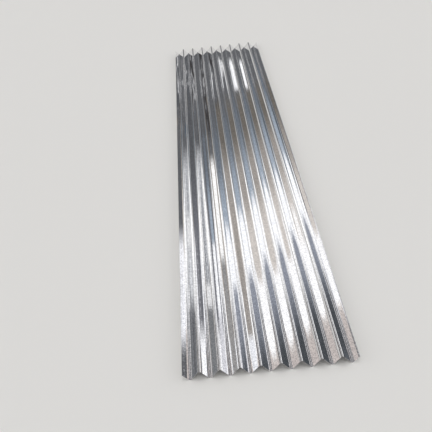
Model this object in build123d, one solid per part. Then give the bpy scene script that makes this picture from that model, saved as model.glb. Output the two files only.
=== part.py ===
from build123d import *
import os
from math import asin, atan2, degrees, hypot

# Corrugated galvanized steel sheet, rolled as one piece.
# Millimetres. X runs across the waves, Y along them, Z up.
# The origin is under the middle of the sheet, on the floor that its troughs rest on.

# Driving dimensions
sheet_length = 3660.0
wave_pitch = 76.2
wave_depth = 36.0
sheet_thickness = 0.5
inside_bend_radius = 6.5
edge_overhang = 27.7
trough_count = 9

# Every bend is one arc, measured here on the middle of the metal's thickness.
half_pitch = wave_pitch / 2
half_thickness = sheet_thickness / 2
bend_radius = inside_bend_radius + half_thickness
trough_centre_z = half_thickness + bend_radius
crest_centre_z = wave_depth - half_thickness - bend_radius

# The last trough on each side is followed by a rising flank, slit at the sheet's long edge.
outer_trough_x = (trough_count - 1) * half_pitch
sheet_width = 2 * (outer_trough_x + edge_overhang)


def flank_slope():
    """Slope of the straight flank that touches both a trough's arc and the next crest's arc."""
    rise_between_centres = crest_centre_z - trough_centre_z
    centre_distance = hypot(half_pitch, rise_between_centres)
    turn_to_the_tangent = asin(2 * bend_radius / centre_distance)
    return degrees(turn_to_the_tangent + atan2(rise_between_centres, half_pitch))


def face_line(above_middle):
    """Line of one face of the metal, from a crest left of the sheet to a crest right of it."""
    slope = flank_slope()
    bends = []
    for step in range(2 * trough_count + 1):
        bend_x = (step - trough_count) * half_pitch
        is_trough = step % 2 == 1
        if is_trough:
            centre = (bend_x, trough_centre_z)
            bends.append(CenterArc(centre, bend_radius - above_middle, 270 - slope, 2 * slope))
        else:
            centre = (bend_x, crest_centre_z)
            bends.append(CenterArc(centre, bend_radius + above_middle, 90 + slope, -2 * slope))
    flanks = [Line(bend @ 1, next_bend @ 0) for bend, next_bend in zip(bends, bends[1:])]
    return bends + flanks


def wave_section():
    """Section across the waves: the strip between the two faces, slit to the sheet's width."""
    upper_face = Wire(face_line(half_thickness))
    lower_face = Wire(face_line(-half_thickness))
    left_end = Line(upper_face @ 0, lower_face @ 0)
    right_end = Line(upper_face @ 1, lower_face @ 1)
    strip = make_face(upper_face.edges() + lower_face.edges() + [left_end, right_end])
    slit = Rectangle(sheet_width, wave_depth, align=(Align.CENTER, Align.MIN))
    return Plane.XZ * (strip & slit)


def corrugated_sheet():
    """The section carried along the whole length, with both ends sheared square."""
    return extrude(wave_section(), amount=sheet_length / 2, both=True)


os.makedirs("parts", exist_ok=True)
export_step(corrugated_sheet(), "parts/corrugated_sheet.step")
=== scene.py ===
from math import asin, atan2, cos, degrees, hypot, radians, sin

import bpy
import numpy as np
from mathutils import Matrix, Vector


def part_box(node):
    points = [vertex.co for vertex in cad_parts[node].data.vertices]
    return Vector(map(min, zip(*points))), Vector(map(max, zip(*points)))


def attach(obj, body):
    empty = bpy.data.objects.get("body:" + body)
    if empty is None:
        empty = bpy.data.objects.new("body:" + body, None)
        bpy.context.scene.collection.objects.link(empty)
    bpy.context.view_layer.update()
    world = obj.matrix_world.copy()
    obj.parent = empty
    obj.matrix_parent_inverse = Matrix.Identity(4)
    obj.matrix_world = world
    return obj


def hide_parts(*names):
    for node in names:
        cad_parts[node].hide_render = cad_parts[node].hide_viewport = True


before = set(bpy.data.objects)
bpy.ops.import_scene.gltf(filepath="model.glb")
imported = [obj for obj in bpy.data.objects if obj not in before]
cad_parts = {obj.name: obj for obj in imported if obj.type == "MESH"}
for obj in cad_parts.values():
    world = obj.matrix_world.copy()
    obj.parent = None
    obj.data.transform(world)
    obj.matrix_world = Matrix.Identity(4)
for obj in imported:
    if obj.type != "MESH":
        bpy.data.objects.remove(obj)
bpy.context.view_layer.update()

# Corrugated galvanized steel sheet. Metres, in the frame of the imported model:
# X across the waves, Y along them, Z up, with the troughs resting at height 0.
sheet_low, sheet_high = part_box("corrugated_sheet")
scene = bpy.context.scene

# Sizes of the rolled section, as in the solid
sheet_thickness = 0.0005
wave_pitch = 0.0762
inside_bend_radius = 0.0065
trough_count = 9
wave_depth = sheet_high.z - sheet_low.z
half_width = sheet_high.x
half_length = sheet_high.y
half_pitch = wave_pitch / 2
half_thickness = sheet_thickness / 2
bend_radius = inside_bend_radius + half_thickness
trough_centre_z = half_thickness + bend_radius
crest_centre_z = wave_depth - half_thickness - bend_radius

# How finely the sheet's mesh follows its waves
bend_steps = 16
flank_shares = (0.03, 0.97)
rows_along = 24
sharp_corner = radians(40)

# The zinc's crystals: how many a metre, the darkest and the brightest, the glossiest and the dullest,
# and how far they tilt the surface
crystals_per_metre = 170
dark_zinc, bright_zinc = (0.68, 0.682, 0.695, 1), (0.895, 0.893, 0.898, 1)
glossy, dull = 0.02, 0.035
crystal_tilt = 0.002

# Shallow lines that the rolls leave along the waves: how fast they change along X, Y and Z, which way they
# tilt the surface, and the span of their tilts left of one place and right of another
line_grain = (48, 0.42, 48)
line_turn = (1, 0, 0)
left_line_x, left_line_tilt = -0.2, 0.064
right_line_x, right_line_tilt = 0.0, 0.03

# Small dents from handling, given in the same way, with the places between which they grow to the full span
# towards the left and towards the back
dent_grain = (26, 2.4, 26)
dent_turn = (1, 0.7, 0)
dent_tilt = 0.075
dents_start_x, dents_full_x = 0.06, -0.14
dents_start_y, dents_full_y = -0.3, 0.6

# Towards the bends the flanks lose a little of their slope: the heights above and below mid-wave between
# which this sets in, and the tilt it comes to
ease_start, ease_full = 0.007, 0.016
ease_tilt = 0.024

# The floor
floor_reach = 60
floor_colour = (0.85, 0.84, 0.82, 1)


def link(piece):
    """Puts a new object into the scene."""
    scene.collection.objects.link(piece)
    return piece


def flank_slope():
    """Slope of the straight flank that touches a trough's arc and the next crest's arc."""
    rise_between_centres = crest_centre_z - trough_centre_z
    centre_distance = hypot(half_pitch, rise_between_centres)
    return asin(2 * bend_radius / centre_distance) + atan2(rise_between_centres, half_pitch)


def section():
    """Points across the sheet on the middle of its metal: x, z and the normal's x and z."""
    slope = flank_slope()
    rows = []
    for step in range(2 * trough_count + 1):
        bend_x = (step - trough_count) * half_pitch
        side = 1 if step % 2 else -1
        centre_z = trough_centre_z if side > 0 else crest_centre_z
        for turn in np.linspace(-slope, slope, bend_steps + 1):
            x = bend_x + bend_radius * sin(turn)
            z = centre_z - side * bend_radius * cos(turn)
            rows.append((x, z, -side * sin(turn), cos(turn)))
        if step == 2 * trough_count:
            break
        x, z, normal_x, normal_z = rows[-1]
        next_x = bend_x + half_pitch - bend_radius * sin(slope)
        rise = (next_x - x) * side * sin(slope) / cos(slope)
        for share in flank_shares:
            rows.append((x + share * (next_x - x), z + share * rise, normal_x, normal_z))
    rows = np.array(rows)
    edge_x = half_width - half_thickness * sin(slope)
    inside = rows[np.abs(rows[:, 0]) < edge_x]
    edges = [[np.interp(x, rows[:, 0], values) for values in rows.T] for x in (-edge_x, edge_x)]
    return np.vstack([edges[0], inside, edges[1]])


def sheet_mesh():
    """The closed skin of the sheet: a ring round its section, carried along it and capped at both ends."""
    across = section()
    faces = []
    for above in (half_thickness, -half_thickness):
        x = np.clip(across[:, 0] + above * across[:, 2], -half_width, half_width)
        z = np.clip(across[:, 1] + above * across[:, 3], 0, wave_depth)
        faces.append(list(zip(x, z)))
    upper, lower = faces
    ring = upper + lower[::-1]
    places_along = np.linspace(-half_length, half_length, rows_along + 1)
    points = [(x, y, z) for x, z in ring for y in places_along]

    def corners(*places):
        """Numbers of the points at places round the ring and rows along it."""
        return [place % len(ring) * len(places_along) + row for place, row in places]

    quads = []
    for place in range(len(ring)):
        for row in range(rows_along):
            quads.append(corners((place, row), (place + 1, row), (place + 1, row + 1), (place, row + 1)))
    far = rows_along
    for place in range(len(upper) - 1):
        below = len(ring) - 1 - place
        quads.append(corners((place + 1, 0), (place, 0), (below, 0), (below - 1, 0)))
        quads.append(corners((place, far), (place + 1, far), (below - 1, far), (below, far)))
    mesh = bpy.data.meshes.new("corrugated_sheet_skin")
    mesh.from_pydata(points, [], quads)
    mesh.shade_smooth()
    mesh.set_sharp_from_angle(angle=sharp_corner)
    return mesh


class Nodes:
    """Adds nodes to a tree. What goes into a node is a value, or the output of another node."""

    def __init__(self, tree):
        self.tree = tree

    def add(self, kind, inputs=None, **settings):
        """A new node with its settings, and what goes into each of its inputs."""
        node = self.tree.nodes.new(kind)
        for setting, value in settings.items():
            setattr(node, setting, value)
        for name, value in (inputs or {}).items():
            if isinstance(value, bpy.types.NodeSocket):
                self.tree.links.new(value, node.inputs[name])
            else:
                node.inputs[name].default_value = value
        return node

    def maths(self, operation, *terms):
        return self.add("ShaderNodeMath", dict(enumerate(terms)), operation=operation).outputs[0]

    def vector(self, operation, *terms):
        node = self.add("ShaderNodeVectorMath", dict(enumerate(terms)), operation=operation)
        return node.outputs["Vector"]

    def scaled(self, vector, scale):
        node = self.add("ShaderNodeVectorMath", {"Vector": vector, "Scale": scale}, operation="SCALE")
        return node.outputs["Vector"]

    def ramp(self, value, low, high, low_value=0.0, high_value=1.0, kind="SMOOTHSTEP"):
        """Goes from the low value, where the input is at its low end, to the high value at its high end."""
        limits = {"From Min": low, "From Max": high, "To Min": low_value, "To Max": high_value}
        node = self.add("ShaderNodeMapRange", {"Value": value, **limits}, interpolation_type=kind)
        return node.outputs["Result"]

    def mix(self, share, under, over):
        """The first colour, with a share of the second laid over it."""
        inputs = {"Factor": share, "A": under, "B": over}
        return self.add("ShaderNodeMix", inputs, data_type="RGBA").outputs["Result"]

    def parts(self, vector):
        """X, Y and Z of a vector."""
        return self.add("ShaderNodeSeparateXYZ", {"Vector": vector}).outputs

    def band(self, value, low, high, rim):
        """1 between the low and the high edge and 0 outside them, with rims of that softness."""
        above_low = self.ramp(value, low - rim, low + rim)
        below_high = self.ramp(value, high - rim, high + rim, 1, 0)
        return self.maths("MULTIPLY", above_low, below_high)

    def tilt(self, random_colour):
        """A random colour's red, green and blue, from 0 to 1, as tilts in X, Y and Z, from -0.5 to 0.5."""
        return self.vector("SUBTRACT", random_colour, (0.5, 0.5, 0.5))

    def smooth_tilt(self, place, grain):
        """A random tilt that changes smoothly, with about so many swings a metre along each axis."""
        stretched = self.add("ShaderNodeMapping", {"Vector": place, "Scale": grain}).outputs["Vector"]
        noise = self.add("ShaderNodeTexNoise", {"Vector": stretched, "Scale": 1.0, "Detail": 1})
        return self.tilt(noise.outputs["Color"])


def new_material(name):
    """An empty material, with its shader and its nodes."""
    material = bpy.data.materials.new(name)
    material.use_nodes = True
    return material, material.node_tree.nodes["Principled BSDF"], Nodes(material.node_tree)


def zinc():
    """Bright zinc: crystals of different grey, gloss and tilt, rolled lines, dents and eased flanks."""
    material, shader, nodes = new_material("galvanized_steel")
    place = nodes.add("ShaderNodeTexCoord").outputs["Object"]
    position = nodes.parts(place)

    crystals = nodes.add("ShaderNodeTexVoronoi", {"Vector": place, "Scale": crystals_per_metre})
    cell = nodes.add("ShaderNodeSeparateColor", {"Color": crystals.outputs["Color"]})
    colour = nodes.mix(cell.outputs["Red"], dark_zinc, bright_zinc)
    roughness = nodes.ramp(cell.outputs["Green"], 0, 1, glossy, dull, kind="LINEAR")
    crystal = nodes.scaled(nodes.tilt(crystals.outputs["Color"]), crystal_tilt)

    line = nodes.vector("MULTIPLY", nodes.smooth_tilt(place, line_grain), line_turn)
    line_tilt = nodes.ramp(
        position["X"], left_line_x, right_line_x, left_line_tilt, right_line_tilt, kind="LINEAR"
    )
    line = nodes.scaled(line, line_tilt)

    dent = nodes.vector("MULTIPLY", nodes.smooth_tilt(place, dent_grain), dent_turn)
    towards_left = nodes.ramp(position["X"], dents_start_x, dents_full_x, 0, dent_tilt)
    towards_back = nodes.ramp(position["Y"], dents_start_y, dents_full_y)
    dent = nodes.scaled(dent, nodes.maths("MULTIPLY", towards_left, towards_back))

    height = nodes.maths("ABSOLUTE", nodes.maths("SUBTRACT", position["Z"], wave_depth / 2))
    ease = nodes.ramp(height, ease_start, ease_full, 0, ease_tilt)
    ease = nodes.add("ShaderNodeCombineXYZ", {"Z": ease}).outputs["Vector"]

    normal = nodes.add("ShaderNodeNewGeometry").outputs["Normal"]
    for tilted in (ease, line, dent, crystal):
        normal = nodes.vector("ADD", normal, tilted)
    nodes.tree.links.new(nodes.vector("NORMALIZE", normal), shader.inputs["Normal"])
    nodes.tree.links.new(colour, shader.inputs["Base Color"])
    nodes.tree.links.new(roughness, shader.inputs["Roughness"])
    shader.inputs["Metallic"].default_value = 1.0
    return material


def floor():
    """Plain pale floor that fills the view."""
    corners = [(-1, -1), (1, -1), (1, 1), (-1, 1)]
    mesh = bpy.data.meshes.new("floor")
    mesh.from_pydata([(x * floor_reach, y * floor_reach, 0) for x, y in corners], [], [(0, 1, 2, 3)])
    piece = link(bpy.data.objects.new("floor", mesh))
    material, shader, _ = new_material("pale_floor")
    shader.inputs["Base Color"].default_value = floor_colour
    shader.inputs["Roughness"].default_value = 1.0
    shader.inputs["Specular IOR Level"].default_value = 0.0
    mesh.materials.append(material)


# The studio round the sheet, the same ahead of it and behind it. Its places are given by two angles in
# degrees: how far they are from the line of the waves, and how far they are turned about that line from
# upright. The room's own light depends on the first angle alone.
room_light = (
    (24, (0.25, 0.25, 0.26)),
    (33, (1.33, 1.32, 1.31)),
    (38, (1.15, 1.15, 1.15)),
    (44, (0.42, 0.42, 0.42)),
    (56, (0.80, 0.795, 0.79)),
    (90, (0.76, 0.76, 0.755)),
)
# The backdrop all round, in the lit floor's tone, and its soft upper edge in degrees above the horizon
backdrop = (0.704, 0.694, 0.678)
backdrop_edge = (6, 10)
# Nothing farther from the line than this is mirrored to the camera, so the panels made for it end here
unseen = 49
# Soft panels, bright and dark, each laid over the ones before: turn, distance from the waves' line, the
# softness of the rims in each, how far the ends lean per degree of turn, and the colour of the light
panels = (
    ("high_left", (-50, -18), (53, 100), (8, 4), 0, (0.48, 0.48, 0.49)),
    ("high_right", (18, 50), (53, 100), (8, 4), 0, (0.48, 0.48, 0.49)),
    ("low_left", (-180, -58), (53, 100), (6, 4), 0, (1.35, 1.35, 1.34)),
    ("low_right", (58, 180), (53, 100), (6, 4), 0, (1.35, 1.35, 1.34)),
    ("overhead", (-8, 8), (53, 100), (6, 4), 0, (2.0, 1.99, 1.96)),
    ("left_core", (-60, -27), (28.6, 37), (4, 1.5), 0, (1.9, 1.88, 1.86)),
    ("left_low", (-180, -30), (40, unseen), (2, 1.5), 0, (0.15, 0.14, 0.14)),
    ("right_blue", (17, 180), (23.5, 31), (2, 1.5), 0, (0.1, 0.15, 0.2)),
    ("right_core", (22, 50), (32, 37), (3, 1), 0, (1.4, 1.42, 1.46)),
    ("right_edge", (55, 180), (25, 38), (4, 1.5), 0, (0.22, 0.23, 0.26)),
    ("right_low", (17, 42), (38.5, unseen), (2, 1), 0, (0.12, 0.12, 0.14)),
    ("right_bright", (58, 180), (39.5, unseen), (4, 1.5), 0, (1.7, 1.7, 1.73)),
    ("flanks", (-25.6, 17.2), (0, unseen), (0.5, 1), 0, (0.17, 0.175, 0.185)),
    ("wash_far", (-25.6, -9.2), (23, 33), (0.4, 1.5), 0.4, (0.21, 0.24, 0.28)),
    ("wash", (-25.6, -9.2), (27.2, 33), (0.4, 2.5), 0.43, (0.52, 0.6, 0.7)),
    ("slate_light", (-25.6, -11.6), (35.2, unseen), (0.4, 1), 0.4, (0.42, 0.45, 0.52)),
    ("slate", (-25.6, -11.6), (41, unseen), (0.4, 3), 0.4, (0.1, 0.11, 0.12)),
    ("strip", (-25.6, -11.6), (30.6, 35.8), (0.4, 0.9), 0.4, (1.52, 1.54, 1.57)),
    ("wave_3", (-11.8, -9.2), (34.6, unseen), (0.4, 0.5), 0, (1.05, 1.05, 1.1)),
    ("wave_3_white", (-11.8, -9.2), (34.6, 40.3), (0.4, 0.5), 0, (1.54, 1.55, 1.57)),
    ("wave_2_dark", (-9.5, -6.5), (0, 43), (0.4, 0.5), 0, (0.135, 0.14, 0.15)),
    ("wave_2_dim", (-9.5, -6.5), (30, 43), (0.4, 4), 0, (0.25, 0.255, 0.28)),
    ("wave_2_white", (-9.4, -6.8), (41.7, unseen), (0.4, 1.4), 0, (1.56, 1.56, 1.58)),
    ("wave_1_white", (-6.8, -4), (33.8, 42.4), (0.4, 1.4), 0, (1.45, 1.46, 1.5)),
    ("brown", (-4, 10), (22.6, unseen), (0.5, 0.8), 0.1, (0.22, 0.2, 0.175)),
    ("beige_low", (-4, 10), (26.8, unseen), (0.5, 2), 0.2, (0.52, 0.48, 0.44)),
    ("beige_high", (-4, 7.8), (31, unseen), (0.5, 2), 0.3, (0.95, 0.89, 0.83)),
    ("wave_8_white", (-1.4, 0.9), (32.8, 41.5), (0.4, 0.8), 0, (1.5, 1.48, 1.45)),
    ("window", (-4, 7.8), (36.8, 42.9), (0.5, 0.7), 0.3, (1.56, 1.555, 1.55)),
    ("rose", (-4, 7.8), (43.1, unseen), (0.5, 0.8), 0.3, (0.82, 0.74, 0.7)),
    ("wave_4_white", (7.8, 10.1), (42.4, unseen), (0.4, 0.5), 0, (1.3, 1.32, 1.36)),
    ("wave_3_dark", (9.9, 12.7), (0, 25), (0.5, 1.5), 0, (0.06, 0.055, 0.055)),
    ("wave_2_far", (13.4, 14.6), (19.2, 23.5), (0.4, 0.4), 0, (0.6, 0.6, 0.61)),
    ("wave_1_far", (-6.2, -5), (19.2, 22.2), (0.3, 0.4), 0, (0.8, 0.8, 0.81)),
    ("wave_3_streak", (9.7, 12.7), (27.6, 36), (0.5, 0.9), 0, (1.54, 1.53, 1.5)),
    ("wave_3_grey", (10.1, 12.5), (36.4, unseen), (0.4, 1), 0, (0.47, 0.46, 0.45)),
    ("wave_2_pale", (12.5, 14.9), (27.2, 38), (0.4, 1.8), 0, (1.1, 1.12, 1.15)),
    ("wave_2_line", (13.5, 14.1), (27, unseen), (0.2, 1.2), 0.5, (0.25, 0.26, 0.28)),
    ("wave_2_streak", (12.5, 14.9), (37.8, 39.8), (0.4, 0.4), 0, (1.2, 1.2, 1.2)),
    ("wave_2_low", (12.5, 14.9), (40, unseen), (0.4, 0.8), 0, (0.3, 0.31, 0.32)),
    ("wave_1_pale", (14.9, 17.3), (27.8, 39), (0.4, 1.8), 0, (1.2, 1.22, 1.25)),
    ("wave_1_line", (15.6, 16.2), (28, unseen), (0.2, 1.2), 0.5, (0.35, 0.36, 0.38)),
    ("wave_1_streak", (14.9, 17.3), (32, 34.6), (0.4, 0.6), 0, (1.15, 1.15, 1.15)),
    ("spot_7", (0.9, 3.1), (20.1, 22.3), (0.4, 0.2), 0, (1.5, 1.5, 1.52)),
    ("spot_6", (3.3, 5.3), (19.8, 22.2), (0.4, 0.2), 0, (1.5, 1.5, 1.52)),
    ("spot_5", (5.6, 7.4), (19.5, 20.6), (0.3, 0.2), 0, (1, 1, 1)),
)


def studio():
    """Soft studio light from all round, as a world: the room's light, with the panels laid over it."""
    world = bpy.data.worlds.new("studio")
    scene.world = world
    world.use_nodes = True
    nodes = Nodes(world.node_tree)

    # A direction's two angles: how far it is from the waves' line, and its turn about that line
    direction = nodes.parts(nodes.add("ShaderNodeTexCoord").outputs["Generated"])
    to_degrees = degrees(1)
    from_line = nodes.maths("ARCCOSINE", nodes.maths("ABSOLUTE", direction["Y"]))
    from_line = nodes.maths("MULTIPLY", from_line, to_degrees)
    turn = nodes.maths("MULTIPLY", nodes.maths("ARCTAN2", direction["X"], direction["Z"]), to_degrees)

    light = (*room_light[0][1], 1)
    for (low, _), (high, colour) in zip(room_light, room_light[1:]):
        light = nodes.mix(nodes.ramp(from_line, low, high), light, (*colour, 1))
    for _, (left, right), (near, far), (turn_rim, line_rim), lean, colour in panels:
        from_middle = nodes.maths("SUBTRACT", turn, (left + right) / 2)
        leaning = nodes.maths("SUBTRACT", from_line, nodes.maths("MULTIPLY", from_middle, lean))
        turned = nodes.band(turn, left, right, turn_rim)
        share = nodes.maths("MULTIPLY", turned, nodes.band(leaning, near, far, line_rim))
        light = nodes.mix(share, light, (*colour, 1))
    low, high = (sin(radians(angle)) for angle in backdrop_edge)
    light = nodes.mix(nodes.ramp(direction["Z"], low, high, 1, 0), light, (*backdrop, 1))
    world.node_tree.links.new(light, world.node_tree.nodes["Background"].inputs["Color"])


# The camera of the photo, fitted to the waves at both ends of the sheet
camera_place = Vector((-0.137, -half_length - 1.854, 1.856 + wave_depth / 2))
camera_yaw, camera_pitch, camera_roll = -0.0025, 0.5623, -0.1101
focal_pixels, frame_pixels = 689.6, 432


def camera():
    """Stands, looks and rolls as the photo's camera did."""
    data = bpy.data.cameras.new("camera")
    piece = link(bpy.data.objects.new("camera", data))
    forward_x = sin(camera_yaw) * cos(camera_pitch)
    forward_y = cos(camera_yaw) * cos(camera_pitch)
    forward = Vector((forward_x, forward_y, -sin(camera_pitch)))
    level_right = Vector((cos(camera_yaw), -sin(camera_yaw), 0))
    level_up = level_right.cross(forward)
    right = cos(camera_roll) * level_right + sin(camera_roll) * level_up
    up = -sin(camera_roll) * level_right + cos(camera_roll) * level_up
    turned = Matrix((right, up, -forward)).transposed().to_4x4()
    piece.matrix_world = Matrix.Translation(camera_place) @ turned
    data.sensor_width = 36
    data.lens = data.sensor_width * focal_pixels / frame_pixels
    data.clip_end = 200
    scene.camera = piece


camera()
studio()
floor()
sheet = link(bpy.data.objects.new("corrugated_sheet_skin", sheet_mesh()))
sheet.data.materials.append(zinc())
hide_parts("corrugated_sheet")
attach(sheet, "root")

scene.view_settings.view_transform = "Standard"
